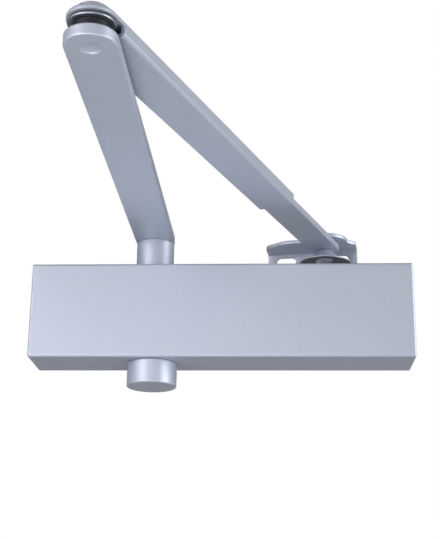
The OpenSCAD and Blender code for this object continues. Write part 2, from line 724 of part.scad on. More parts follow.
module pivot_washer() color(plated) translate([shoe_pivot.x, shoe_pivot.y, rod_z + rod_t + side])
    tube_ring(15, pivot_bore + 2 * run, 0.5);

// stud riveted into the flange; its lower head sits in the cup
module pivot_stud() color(plated) translate([shoe_pivot.x, shoe_pivot.y, 0]) {
    translate([0, 0, flange_top]) soft_disc(13, 1.8, 0.8);
    seat = cup_top - cup_h + cup_seat - 0.2;
    translate([0, 0, seat - eps]) cylinder(d = pivot_bore, h = flange_top + 0.2 - seat);
    translate([0, 0, seat - 2]) soft_disc(12, 2, 0.7);
}

// flared cup, open below
module pivot_cup() color(plated) translate([shoe_pivot.x, shoe_pivot.y, cup_top - cup_h]) rotate_extrude()
    polygon([[pivot_bore / 2 + run, cup_h], [5.6, cup_h], [8.6, 3.4], [cup_d / 2, 1], [cup_d / 2, 0],
        [8, 2], [6.6, 2.4], [6.6, cup_seat], [pivot_bore / 2 + run, cup_seat]]);

cover();
housing();
cover_clips();
left_plug();
right_plug();
plug_seals();
upper_bearing();
lower_bearing();
upper_gland();
lower_gland();
upper_shaft_seal();
lower_shaft_seal();
spindle_cap();
pinion_shaft();
piston();
check_ball();
check_ring();
outer_spring();
inner_spring();
spring_seat();
power_screw();
closing_valve();
closing_valve_seal();
latching_valve();
latching_valve_seal();
arm_hub();
main_arm();
arm_washer();
arm_screw();
elbow_pin();
elbow_bush();
elbow_washer();
forearm_tube();
clamp_nut();
clamp_screw();
clamp_pad();
forearm_rod();
shoe();
pivot_washer();
pivot_stud();
pivot_cup();
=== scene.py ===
import json
import math
import bmesh
import bpy
from mathutils import Matrix, Vector


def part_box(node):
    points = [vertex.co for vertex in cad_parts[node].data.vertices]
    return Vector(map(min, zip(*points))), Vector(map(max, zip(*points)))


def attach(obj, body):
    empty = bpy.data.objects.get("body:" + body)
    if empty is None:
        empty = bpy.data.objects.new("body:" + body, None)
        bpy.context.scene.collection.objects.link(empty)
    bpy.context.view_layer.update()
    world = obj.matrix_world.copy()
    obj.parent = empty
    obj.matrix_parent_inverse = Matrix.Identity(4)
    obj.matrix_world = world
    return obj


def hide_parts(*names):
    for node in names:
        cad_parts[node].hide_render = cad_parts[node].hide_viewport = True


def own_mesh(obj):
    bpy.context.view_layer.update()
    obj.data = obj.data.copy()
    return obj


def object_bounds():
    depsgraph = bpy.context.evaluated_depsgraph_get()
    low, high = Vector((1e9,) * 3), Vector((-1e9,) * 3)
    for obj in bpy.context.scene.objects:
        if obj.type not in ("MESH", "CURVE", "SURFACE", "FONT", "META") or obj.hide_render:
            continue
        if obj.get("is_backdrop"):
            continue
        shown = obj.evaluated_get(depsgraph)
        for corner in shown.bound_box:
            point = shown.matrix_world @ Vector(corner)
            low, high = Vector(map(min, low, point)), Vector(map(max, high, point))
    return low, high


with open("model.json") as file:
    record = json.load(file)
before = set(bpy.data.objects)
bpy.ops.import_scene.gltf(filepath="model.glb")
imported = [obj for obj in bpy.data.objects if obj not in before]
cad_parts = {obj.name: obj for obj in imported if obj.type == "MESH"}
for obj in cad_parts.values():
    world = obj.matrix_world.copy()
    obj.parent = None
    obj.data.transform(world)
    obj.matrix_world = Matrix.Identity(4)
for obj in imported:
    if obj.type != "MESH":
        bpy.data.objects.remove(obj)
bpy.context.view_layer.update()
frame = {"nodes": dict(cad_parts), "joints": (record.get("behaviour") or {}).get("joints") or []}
nodes = frame["nodes"]
joints = {joint["name"]: joint for joint in frame["joints"]}
print("frame loaded:", len(nodes), "nodes")

mm = 0.001


def centreOf(node):
    low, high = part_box(node)
    return (low + high) / 2


cameraSetup = {
    "across": -0.9 * mm,      # aim point, from the middle of the cover's front
    "up": 26.7 * mm,
    "distance": 734.9 * mm,
    "turn": -2.76,            # degrees
    "lift": 18.54,            # looks up from below
    "roll": 0.66,
    "lens": 76.1,
}


def makeCamera(setup):
    low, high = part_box("cover")
    aim = Vector(((low.x + high.x) / 2 + setup["across"], low.y, (low.z + high.z) / 2 + setup["up"]))
    turn, lift, roll = (math.radians(setup[k]) for k in ("turn", "lift", "roll"))
    ahead = Vector((math.sin(turn) * math.cos(lift), math.cos(turn) * math.cos(lift), math.sin(lift)))
    right = Vector((math.cos(turn), -math.sin(turn), 0))
    up = right.cross(ahead)
    right, up = (math.cos(roll) * right + math.sin(roll) * up,
                 math.cos(roll) * up - math.sin(roll) * right)
    data = bpy.data.cameras.new("camera")
    data.lens = setup["lens"]
    data.clip_start, data.clip_end = 0.01, 100
    camera = bpy.data.objects.new("camera", data)
    turned = Matrix((right, up, -ahead)).transposed().to_4x4()
    camera.matrix_world = Matrix.Translation(aim - ahead * setup["distance"]) @ turned
    bpy.context.scene.collection.objects.link(camera)
    bpy.context.scene.camera = camera


makeCamera(cameraSetup)
print("camera made")


def newGroup(name, inputs, outputs):
    # inputs and outputs: name -> (kind, default)
    tree = bpy.data.node_groups.new(name, "ShaderNodeTree")
    for side, sockets in (("INPUT", inputs), ("OUTPUT", outputs)):
        for label, (kind, default) in sockets.items():
            socket = tree.interface.new_socket(label, in_out=side, socket_type="NodeSocket" + kind)
            if default is not None:
                socket.default_value = default
    start = tree.nodes.new("NodeGroupInput")
    end = tree.nodes.new("NodeGroupOutput")
    return tree, start.outputs, end.inputs


def addNode(tree, kind, inputs=None, **settings):
    # inputs: socket name or number -> a value or another node's output
    node = tree.nodes.new("ShaderNode" + kind)
    for key, value in settings.items():
        setattr(node, key, value)
    for key, value in (inputs or {}).items():
        if isinstance(value, bpy.types.NodeSocket):
            tree.links.new(value, node.inputs[key])
        else:
            node.inputs[key].default_value = value
    return node


def maths(tree, operation, a, b=0.0, clamp=False):
    return addNode(tree, "Math", {0: a, 1: b}, operation=operation, use_clamp=clamp).outputs[0]


def noise(tree, where, scale, detail=2.0, rough=0.5):
    return addNode(tree, "TexNoise", {"Vector": where, "Scale": scale, "Detail": detail,
                                      "Roughness": rough}).outputs["Fac"]


def spread(tree, value, low, high):
    return addNode(tree, "MapRange", {"Value": value, "To Min": low, "To Max": high}).outputs["Result"]


def shade(tree, colour, amount):
    # colour made lighter or darker by a factor around 1
    return addNode(tree, "VectorMath", {0: colour, "Scale": amount}, operation="SCALE").outputs[0]


def makeEdgeWear():
    # 1 along convex and concave edges, 0 on open faces, broken up a little
    tree, given, out = newGroup("edgeWear", {"Width": ("Float", 0.0006), "Amount": ("Float", 0.6)},
                                {"Mask": ("Float", None)})
    rounded = addNode(tree, "Bevel", {"Radius": given["Width"]}, samples=4).outputs[0]
    flat = addNode(tree, "NewGeometry").outputs["Normal"]
    same = addNode(tree, "VectorMath", {0: rounded, 1: flat}, operation="DOT_PRODUCT").outputs["Value"]
    bend = maths(tree, "MULTIPLY", maths(tree, "SUBTRACT", 1.0, same), 6.0, clamp=True)
    place = addNode(tree, "TexCoord").outputs["Object"]
    patchy = spread(tree, noise(tree, place, 260.0, 3.0), 0.2, 1.3)
    mask = maths(tree, "MULTIPLY", maths(tree, "MULTIPLY", bend, patchy), given["Amount"], clamp=True)
    tree.links.new(mask, out["Mask"])
    return tree


def makeFlakes():
    # metal flakes in a clear binder, a faint orange peel and slow changes of tone
    tree, given, out = newGroup("paintFlakes", {"Colour": ("Color", (0.6, 0.6, 0.6, 1)),
                                                "Flake": ("Float", 5200.0), "Sparkle": ("Float", 0.12),
                                                "Peel": ("Float", 900.0), "Rough": ("Float", 0.4)},
                                {"Colour": ("Color", None), "Roughness": ("Float", None),
                                 "Height": ("Float", None)})
    place = addNode(tree, "TexCoord").outputs["Object"]
    cells = addNode(tree, "TexVoronoi", {"Vector": place, "Scale": given["Flake"]}).outputs["Color"]
    grey = addNode(tree, "SeparateColor", {"Color": cells}).outputs[0]
    half = maths(tree, "MULTIPLY", given["Sparkle"], 0.5)
    flake = maths(tree, "SUBTRACT", maths(tree, "MULTIPLY", grey, given["Sparkle"]), half)
    slow = spread(tree, noise(tree, place, 14.0, 3.0), -0.025, 0.025)
    amount = maths(tree, "ADD", maths(tree, "ADD", flake, slow), 1.0)
    tree.links.new(shade(tree, given["Colour"], amount), out["Colour"])
    handled = noise(tree, place, 60.0, 4.0, 0.6)
    tree.links.new(maths(tree, "ADD", given["Rough"], spread(tree, handled, -0.06, 0.06)), out["Roughness"])
    peel = noise(tree, place, given["Peel"], 2.0)
    tree.links.new(maths(tree, "ADD", peel, maths(tree, "MULTIPLY", grey, 0.15)), out["Height"])
    return tree


def makeTurned():
    # fine rings left by a lathe round a centre line that stands along Axis
    inputs = {"Centre": ("Vector", (0, 0, 0)), "Axis": ("Vector", (0, 0, 1)), "Pitch": ("Float", 5000.0)}
    tree, given, out = newGroup("turnedLines", inputs, {"Lines": ("Float", None), "Height": ("Float", None)})
    place = addNode(tree, "TexCoord").outputs["Object"]
    off = addNode(tree, "VectorMath", {0: place, 1: given["Centre"]}, operation="SUBTRACT").outputs[0]
    along = addNode(tree, "VectorMath", {0: off, 1: given["Axis"]},
                    operation="DOT_PRODUCT").outputs["Value"]
    across = addNode(tree, "VectorMath", {0: off, 1: given["Axis"]}, operation="CROSS_PRODUCT").outputs[0]
    spoke = addNode(tree, "VectorMath", {0: across}, operation="LENGTH").outputs["Value"]
    where = addNode(tree, "CombineXYZ", {"X": spoke, "Y": along}).outputs[0]
    lines = noise(tree, where, given["Pitch"], 3.0, 0.7)
    tree.links.new(lines, out["Lines"])
    tree.links.new(lines, out["Height"])
    return tree


def makeGrain():
    # sandy skin of a die casting, or the fine spark finish of a moulding
    tree, given, out = newGroup("castGrain", {"Size": ("Float", 900.0)},
                                {"Tone": ("Float", None), "Height": ("Float", None)})
    place = addNode(tree, "TexCoord").outputs["Object"]
    fine = noise(tree, place, given["Size"], 5.0, 0.65)
    broad = noise(tree, place, 45.0, 3.0)
    tree.links.new(spread(tree, broad, 0.88, 1.1), out["Tone"])
    tree.links.new(fine, out["Height"])
    return tree


groups = {"wear": makeEdgeWear(), "flakes": makeFlakes(), "turned": makeTurned(), "grain": makeGrain()}
print("shader groups made")


def startMaterial(name, colour, metallic, roughness):
    material = bpy.data.materials.new(name)
    material.use_nodes = True
    tree = material.node_tree
    shader = tree.nodes["Principled BSDF"]
    shader.inputs["Base Color"].default_value = (*colour, 1)
    shader.inputs["Metallic"].default_value = metallic
    shader.inputs["Roughness"].default_value = roughness
    return material, tree, shader


def useGroup(tree, name, **values):
    node = tree.nodes.new("ShaderNodeGroup")
    node.node_tree = groups[name]
    for key, value in values.items():
        node.inputs[key].default_value = value
    return node.outputs


def blendColour(tree, mask, first, second):
    node = addNode(tree, "Mix", {"Factor": mask}, data_type="RGBA")
    for socket, value in ((node.inputs[6], first), (node.inputs[7], second)):
        if isinstance(value, bpy.types.NodeSocket):
            tree.links.new(value, socket)
        else:
            socket.default_value = (*value, 1)
    return node.outputs[2]


def bump(tree, shader, height, depth, strength=1.0):
    node = addNode(tree, "Bump", {"Height": height, "Distance": depth, "Strength": strength})
    tree.links.new(node.outputs[0], shader.inputs["Normal"])


silver = {"colour": (0.50, 0.54, 0.63), "bare": (0.66, 0.67, 0.70), "metallic": 0.5, "rough": 0.46,
          "coat": 0.12, "coatRough": 0.3, "edge": 0.7 * mm, "wear": 0.3, "depth": 0.02 * mm}
metalWear = {"edge": 0.4 * mm, "wear": 0.5, "tone": 0.06}
grainWear = {"edge": 0.5 * mm}


def makeSilver(values):
    material, tree, shader = startMaterial("silverPaint", values["colour"], values["metallic"],
                                           values["rough"])
    flakes = useGroup(tree, "flakes", Colour=(*values["colour"], 1), Rough=values["rough"])
    worn = useGroup(tree, "wear", Width=values["edge"], Amount=values["wear"])["Mask"]
    tree.links.new(blendColour(tree, worn, flakes["Colour"], values["bare"]), shader.inputs["Base Color"])
    tree.links.new(flakes["Roughness"], shader.inputs["Roughness"])
    shader.inputs["Coat Weight"].default_value = values["coat"]
    shader.inputs["Coat Roughness"].default_value = values["coatRough"]
    bump(tree, shader, flakes["Height"], values["depth"])
    return material


def makeTurnedMetal(name, values, centre, axis):
    # plated or bare metal with lathe rings round its own centre line
    material, tree, shader = startMaterial(name, values["colour"], 1.0, values["rough"])
    turned = useGroup(tree, "turned", Centre=centre, Axis=axis, Pitch=values["pitch"])
    worn = useGroup(tree, "wear", Width=metalWear["edge"], Amount=metalWear["wear"])["Mask"]
    tone = spread(tree, turned["Lines"], 1 - metalWear["tone"], 1 + metalWear["tone"])
    toned = shade(tree, values["colour"], tone)
    tree.links.new(blendColour(tree, worn, toned, values["edge"]), shader.inputs["Base Color"])
    tree.links.new(spread(tree, turned["Lines"], values["rough"] - 0.07, values["rough"] + 0.08),
                   shader.inputs["Roughness"])
    bump(tree, shader, turned["Height"], values["depth"])
    return material


def makeGrained(name, values):
    material, tree, shader = startMaterial(name, values["colour"], values["metallic"], values["rough"])
    grain = useGroup(tree, "grain", Size=values["size"])
    worn = useGroup(tree, "wear", Width=grainWear["edge"], Amount=values["wear"])["Mask"]
    toned = shade(tree, values["colour"], grain["Tone"])
    tree.links.new(blendColour(tree, worn, toned, values["edge"]), shader.inputs["Base Color"])
    tree.links.new(spread(tree, grain["Height"], values["rough"] - 0.06, values["rough"] + 0.08),
                   shader.inputs["Roughness"])
    bump(tree, shader, grain["Height"], values["depth"])
    return material


finishes = {
    "plated": {"colour": (0.60, 0.62, 0.66), "edge": (0.74, 0.75, 0.78), "rough": 0.27, "pitch": 4200.0,
               "depth": 0.012 * mm},
    "steel": {"colour": (0.42, 0.42, 0.43), "edge": (0.60, 0.60, 0.60), "rough": 0.33, "pitch": 3600.0,
              "depth": 0.016 * mm},
    "bronze": {"colour": (0.50, 0.33, 0.15), "edge": (0.66, 0.47, 0.25), "rough": 0.42, "pitch": 3000.0,
               "depth": 0.02 * mm},
    "cast": {"colour": (0.44, 0.45, 0.47), "edge": (0.60, 0.61, 0.62), "metallic": 0.85, "rough": 0.5,
             "size": 1400.0, "wear": 0.5, "depth": 0.05 * mm},
    "dull": {"colour": (0.36, 0.385, 0.43), "edge": (0.55, 0.57, 0.62), "rough": 0.4, "pitch": 4200.0,
             "depth": 0.012 * mm},
    "shaded": {"colour": (0.13, 0.135, 0.15), "edge": (0.24, 0.25, 0.27), "rough": 0.5, "pitch": 3600.0,
               "depth": 0.016 * mm},
    "nylon": {"colour": (0.007, 0.007, 0.011), "edge": (0.02, 0.02, 0.025), "metallic": 0.0, "rough": 0.5,
              "size": 2600.0, "wear": 0.3, "depth": 0.02 * mm},
    "rubber": {"colour": (0.012, 0.012, 0.012), "edge": (0.04, 0.04, 0.04), "metallic": 0.0, "rough": 0.6,
               "size": 3400.0, "wear": 0.3, "depth": 0.02 * mm},
}

silverPaint = makeSilver(silver)
castAlloy = makeGrained("castAlloy", finishes["cast"])
nylon = makeGrained("nylon", finishes["nylon"])
rubber = makeGrained("rubber", finishes["rubber"])


def wear(piece, material):
    piece.data.materials.clear()
    piece.data.materials.append(material)


def metalFor(node, finish, axis=(0, 0, 1)):
    return makeTurnedMetal(node + "Metal", finishes[finish], centreOf(node), axis)


painted = ["cover", "arm_hub", "spindle_cap", "main_arm", "forearm_tube", "forearm_rod"]
turnedUp = {
    "steel": ["upper_gland", "lower_gland", "pinion_shaft"],
    "bronze": ["upper_bearing", "lower_bearing", "clamp_pad"],
}
turnedAlong = {
    "plated": ["closing_valve", "latching_valve"],
    "steel": ["left_plug", "right_plug", "piston", "check_ball", "check_ring", "spring_seat",
              "cover_clips"],
}
for name in painted:
    wear(nodes[name], silverPaint)
for axis, lists in (((0, 0, 1), turnedUp), ((1, 0, 0), turnedAlong)):
    for finish, names in lists.items():
        for name in names:
            wear(nodes[name], metalFor(name, finish, axis))
wear(nodes["housing"], castAlloy)
for name in ["plug_seals", "upper_shaft_seal", "lower_shaft_seal", "closing_valve_seal",
             "latching_valve_seal"]:
    wear(nodes[name], rubber)
print("materials made")


def softCorners(corners, steps=5):
    # corners: two coordinates and a rounding; a corner with no rounding stays sharp
    points = []
    for i, (x, y, soft) in enumerate(corners):
        here = Vector((x, y))
        if soft == 0:
            points.append(here)
            continue
        start = here + (Vector(corners[i - 1][:2]) - here).normalized() * soft
        end = here + (Vector(corners[(i + 1) % len(corners)][:2]) - here).normalized() * soft
        for k in range(steps + 1):
            t = k / steps
            points.append((1 - t) ** 2 * start + 2 * t * (1 - t) * here + t * t * end)
    return points


def hexRadius(width, angle):
    # from the middle of a hexagon to its side, with a corner at angle 0
    return width / 2 / math.cos(angle % (math.pi / 3) - math.pi / 6)


def evenRing(radius, height):
    return lambda angle: (radius, height)


def hexRing(width, height):
    return lambda angle: (hexRadius(width, angle), height)


def cutHexRing(width, height, flat, slope=0.5):
    # the edge that a cone leaves on a hexagon; flat is the radius where the cone meets the face
    return lambda angle: (hexRadius(width, angle), height - slope * (hexRadius(width, angle) - flat))


def threadRings(radius, low, high, pitch, hand=1):
    # rings of a screw thread, which fades out at both ends; hand -1 makes it left-handed
    count = max(2, round((high - low) / pitch * 8))
    rings = []
    for k in range(count + 1):
        height = low + (high - low) * k / count
        depth = 0.3 * pitch * min(1, (height - low) / pitch + 0.3, (high - height) / pitch)

        def ring(angle, height=height, depth=depth):
            wave = (height / pitch - hand * angle / (2 * math.pi)) % 1
            return radius - depth * (1 - abs(2 * wave - 1)), height

        rings.append(ring)
    return rings


def finishPiece(name, mesh, material, body, slot, *replaced):
    bmesh.ops.recalc_face_normals(mesh, faces=mesh.faces)
    data = bpy.data.meshes.new(name)
    mesh.to_mesh(data)
    mesh.free()
    data.shade_smooth()
    data.set_sharp_from_angle(angle=math.radians(32))
    piece = bpy.data.objects.new(name, data)
    bpy.context.scene.collection.objects.link(piece)
    wear(piece, material)
    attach(piece, body)
    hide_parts(*replaced)
    return piece


def standAt(x, y, z=0.0, turn=0.0):
    return Matrix.Translation((x, y, z)) @ Matrix.Rotation(turn, 4, "Z")


def lieAt(x, y, z):
    # the ring's own height then runs along +X
    return Matrix.Translation((x, y, z)) @ Matrix.Rotation(math.pi / 2, 4, "Y")


def ringMesh(rings, place, steps=72, hollow=False, mesh=None):
    # joins each ring of points to the next; a ring of no radius is one point
    mesh = mesh or bmesh.new()
    loops = []
    for ring in rings:
        if ring(0.0)[0] == 0:
            loops.append([mesh.verts.new(place @ Vector((0, 0, ring(0.0)[1])))] * steps)
            continue
        loop = []
        for i in range(steps):
            angle = 2 * math.pi * i / steps
            radius, height = ring(angle)
            loop.append(mesh.verts.new(place @ Vector((radius * math.cos(angle), radius * math.sin(angle),
                                                       height))))
        loops.append(loop)
    pairs = list(zip(loops, loops[1:])) + ([(loops[-1], loops[0])] if hollow else [])
    for low, high in pairs:
        for i in range(steps):
            j = (i + 1) % steps
            corners = [low[i], low[j], high[j], high[i]]
            mesh.faces.new(list(dict.fromkeys(corners)))
    return mesh


def lathe(corners, place, steps=96, hollow=False, mesh=None):
    rings = [evenRing(point.x, point.y) for point in softCorners(corners)]
    return ringMesh(rings, place, steps, hollow, mesh)


forearmTurn = math.atan2(joints["forearm_length"]["axis"][1], joints["forearm_length"]["axis"][0])

# screws: a thread with a chamfered hexagon head
screws = {
    "arm_screw": {"body": "spindle", "head": 5.3 * mm, "width": 13 * mm, "shank": 4 * mm,
                  "pitch": 1.25 * mm, "turn": 0.0},
    "clamp_screw": {"body": "clamp", "head": 3 * mm, "width": 10 * mm, "shank": 3 * mm,
                    "pitch": 1.0 * mm, "turn": forearmTurn},
}
# flat: the round face inside the cut corners, as a share of the width across flats
hexCut = {"flat": 0.96, "underFace": 0.92, "underSlope": -0.3, "dent": 0.62, "dentFoot": 0.56,
          "dentDepth": 0.25 * mm}


def makeScrew(node, values):
    low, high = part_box(node)
    middle = centreOf(node)
    seat = high.z - values["head"]
    width = values["width"]
    flat = hexCut["flat"] * width / 2
    rings = [evenRing(0, low.z), evenRing(values["shank"] - 0.6 * mm, low.z)]
    rings += threadRings(values["shank"], low.z + 0.5 * mm, seat - 0.5 * mm, values["pitch"])
    rings += [evenRing(values["shank"], seat), evenRing(hexCut["underFace"] * flat, seat),
              cutHexRing(width, seat, flat, hexCut["underSlope"]), cutHexRing(width, high.z, flat),
              evenRing(flat, high.z), evenRing(hexCut["dent"] * flat, high.z),
              evenRing(hexCut["dentFoot"] * flat, high.z - hexCut["dentDepth"]),
              evenRing(0, high.z - hexCut["dentDepth"] - 0.05 * mm)]
    mesh = ringMesh(rings, standAt(middle.x, middle.y, 0, values["turn"]))
    return finishPiece(node + "Cut", mesh, metalFor(node, "plated"), values["body"], "plated", node)


for node, values in screws.items():
    makeScrew(node, values)

nut = {"width": 10 * mm, "bore": 3.05 * mm, "lead": 0.35 * mm}


def makeNut(values):
    low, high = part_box("clamp_nut")
    middle = centreOf("clamp_nut")
    flat = hexCut["flat"] * values["width"] / 2
    bore, lead = values["bore"], values["lead"]
    rings = [evenRing(bore, low.z + lead), evenRing(bore + lead, low.z), evenRing(flat, low.z),
             cutHexRing(values["width"], low.z, flat, -0.5), cutHexRing(values["width"], high.z, flat),
             evenRing(flat, high.z), evenRing(bore + lead, high.z), evenRing(bore, high.z - lead)]
    mesh = ringMesh(rings, standAt(middle.x, middle.y, 0, forearmTurn), hollow=True)
    finishPiece("clampNutCut", mesh, metalFor("clamp_nut", "plated"), "forearm", "plated", "clamp_nut")


makeNut(nut)

powerScrew = {"radius": 4 * mm, "pitch": 1.25 * mm, "collar": 6.5 * mm, "collarWidth": 3 * mm,
              "collarBack": 17.1 * mm, "socket": 4 * mm, "socketDepth": 5 * mm}


def makePowerScrew(values):
    # threaded from the spring seat to its collar, with a hexagon socket in the outer end
    low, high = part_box("power_screw")
    middle = centreOf("power_screw")
    length = high.x - low.x
    collar = length - values["collarBack"]
    radius = values["radius"]
    rings = [evenRing(0, 0), evenRing(radius - 0.8 * mm, 0)]
    rings += threadRings(radius, 0.6 * mm, collar - 0.4 * mm, values["pitch"], hand=-1)
    for point in softCorners([(radius, collar, 0), (values["collar"], collar, 0.4 * mm),
                              (values["collar"], collar + values["collarWidth"], 0.4 * mm),
                              (radius, collar + values["collarWidth"], 0), (radius, length, 0.5 * mm),
                              (0.6 * values["socket"], length, 0)]):
        rings.append(evenRing(point.x, point.y))
    bottom = length - values["socketDepth"]
    rings += [hexRing(values["socket"], length - 0.2 * mm), hexRing(values["socket"], bottom),
              evenRing(0, bottom)]
    mesh = ringMesh(rings, lieAt(low.x, middle.y, middle.z))
    metal = metalFor("power_screw", "steel", (1, 0, 0))
    finishPiece("powerScrewCut", mesh, metal, "power", "steel", "power_screw")


makePowerScrew(powerScrew)

springs = {
    "outer_spring": {"wire": 3.6 * mm, "turns": 15, "hand": 1},
    "inner_spring": {"wire": 2.2 * mm, "turns": 22, "hand": -1},
}
springSquash = {"joint": "piston_slide", "ends": 1.0}      # ends: closed turns at each end


def makeSpring(node, values):
    # wire wound with a closed turn at each end, so that the ends stand square
    low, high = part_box(node)
    middle = centreOf(node)
    wire, turns, ends = values["wire"], values["turns"], springSquash["ends"]
    radius = (high.z - low.z - wire) / 2
    rise = high.x - low.x - wire
    closed = 1.02 * wire * ends
    steps, sides = 40 * turns, 14
    mesh = bmesh.new()
    rings = []
    for i in range(steps + 1):
        turn = turns * i / steps
        if turn < ends:
            along = closed * turn / ends
        elif turn > turns - ends:
            along = rise - closed * (turns - turn) / ends
        else:
            along = closed + (rise - 2 * closed) * (turn - ends) / (turns - 2 * ends)
        angle = values["hand"] * 2 * math.pi * turn
        ring = []
        for k in range(sides):
            side = 2 * math.pi * k / sides
            spoke = radius + wire / 2 * math.cos(side)
            ring.append(mesh.verts.new((low.x + wire / 2 + along + wire / 2 * math.sin(side),
                                        middle.y + spoke * math.cos(angle),
                                        middle.z + spoke * math.sin(angle))))
        rings.append(ring)
    for first, second in zip(rings, rings[1:]):
        for k in range(sides):
            j = (k + 1) % sides
            mesh.faces.new((first[k], first[j], second[j], second[k]))
    mesh.faces.new(rings[0])
    mesh.faces.new(rings[-1])
    piece = finishPiece(node + "Wound", mesh, metalFor(node, "steel", (1, 0, 0)), "root", "steel", node)
    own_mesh(piece)


for node, values in springs.items():
    makeSpring(node, values)
print("screws and springs made")

elbow = {
    "rivet": 4.8 * mm, "dish": 0.85 * mm, "neck": 4 * mm, "arm": 6 * mm, "sink": 1 * mm,
    "pin": 5 * mm, "head": 8 * mm, "headHeight": 2.6 * mm,
    "foot": 8.8 * mm, "footHeight": 5.2 * mm, "bushWall": 7 * mm, "bushBore": 5.05 * mm,
}


def makeElbow(values):
    low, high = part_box("elbow_pin")
    middle = centreOf("elbow_pin")
    place = standAt(middle.x, middle.y, 0)
    armTop = low.z - values["sink"] + values["arm"]
    head = high.z - values["headHeight"]
    dish = [(values["rivet"] * k / 6, low.z + values["dish"] * (1 - (k / 6) ** 2), 0) for k in range(6)]
    pin = lathe(dish + [(values["rivet"], low.z, 0), (values["rivet"], low.z + 1 * mm, 0),
                 (values["neck"], low.z + 1 * mm, 0),
                 (values["neck"], armTop, 0), (values["pin"], armTop, 0), (values["pin"], head, 0),
                 (values["head"], head, 0.4 * mm), (values["head"], high.z, 1.1 * mm),
                 (0.35 * values["head"], high.z, 0.8 * mm), (0, high.z - 0.3 * mm, 0)], place)
    finishPiece("elbowPinHeaded", pin, silverPaint, "spindle", "silver_paint", "elbow_pin")

    low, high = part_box("elbow_bush")
    footTop = low.z + values["footHeight"]
    bush = lathe([(values["bushBore"], low.z, 0.3 * mm), (values["foot"], low.z, 0.5 * mm),
                  (values["foot"], footTop, 0.4 * mm), (values["bushWall"], footTop, 0.3 * mm),
                  (values["bushWall"], high.z, 0.4 * mm), (values["bushBore"], high.z, 0.3 * mm)],
                 place, hollow=True)
    finishPiece("elbowBushMoulded", bush, nylon, "forearm", "nylon", "elbow_bush")

    low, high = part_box("elbow_washer")
    outer = (high.x - low.x) / 2
    ring = lathe([(values["bushWall"], low.z, 0.2 * mm), (outer, low.z, 0.7 * mm),
                  (outer, high.z, 0.7 * mm), (values["bushWall"], high.z, 0.2 * mm)], place, hollow=True)
    finishPiece("elbowRing", ring, metalFor("elbow_washer", "dull"), "forearm", "plated", "elbow_washer")


makeElbow(elbow)

armWasher = {"bore": 4.2 * mm, "soft": 0.35 * mm}


def makeFlatRing(node, name, body, values):
    low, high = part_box(node)
    middle = centreOf(node)
    outer, soft = (high.x - low.x) / 2, values["soft"]
    ring = lathe([(values["bore"], low.z, soft), (outer, low.z, soft), (outer, high.z, soft),
                  (values["bore"], high.z, soft)], standAt(middle.x, middle.y, 0), hollow=True)
    finishPiece(name, ring, metalFor(node, "plated"), body, "plated", node)


makeFlatRing("arm_washer", "armWasherRing", "spindle", armWasher)
print("elbow made")

shoe = {
    "turn": -7.7,             # degrees
    "thick": 2.5 * mm, "left": 42.6 * mm, "right": 21.5 * mm, "back": 18.7 * mm, "height": 28 * mm,
    "nose": 16.1 * mm, "wingFront": 4.3 * mm, "wingLeft": 27.5 * mm, "shoulder": 5 * mm, "bore": 4 * mm,
    "bendInside": 0.6 * mm, "edge": 0.3 * mm, "corner": 2 * mm,
    "slotSpan": 38 * mm, "slotLength": 14 * mm, "slotWidth": 6.5 * mm, "slotDrop": 5.6 * mm,
}


def arcPoints(x, y, radius, start, end, steps):
    angles = [math.radians(start + (end - start) * i / steps) for i in range(steps + 1)]
    return [Vector((x + radius * math.cos(a), y + radius * math.sin(a))) for a in angles]


def flatSheet(outlines, thick, edge):
    # a plate with rounded edges; the first outline is its rim and the others are holes
    curve = bpy.data.curves.new("flatSheet", "CURVE")
    curve.dimensions = "2D"
    curve.fill_mode = "BOTH"
    curve.extrude = thick / 2 - edge
    curve.bevel_depth = edge
    curve.bevel_resolution = 2
    curve.offset = -edge
    for points in outlines:
        spline = curve.splines.new("POLY")
        spline.points.add(len(points) - 1)
        spline.use_cyclic_u = True
        for point, place in zip(spline.points, points):
            point.co = (place.x, place.y, 0, 1)
    holder = bpy.data.objects.new("flatSheet", curve)
    bpy.context.scene.collection.objects.link(holder)
    solid = bpy.data.meshes.new_from_object(holder.evaluated_get(bpy.context.evaluated_depsgraph_get()))
    bpy.data.objects.remove(holder)
    mesh = bmesh.new()
    mesh.from_mesh(solid)
    bmesh.ops.remove_doubles(mesh, verts=mesh.verts, dist=1e-6)
    return mesh


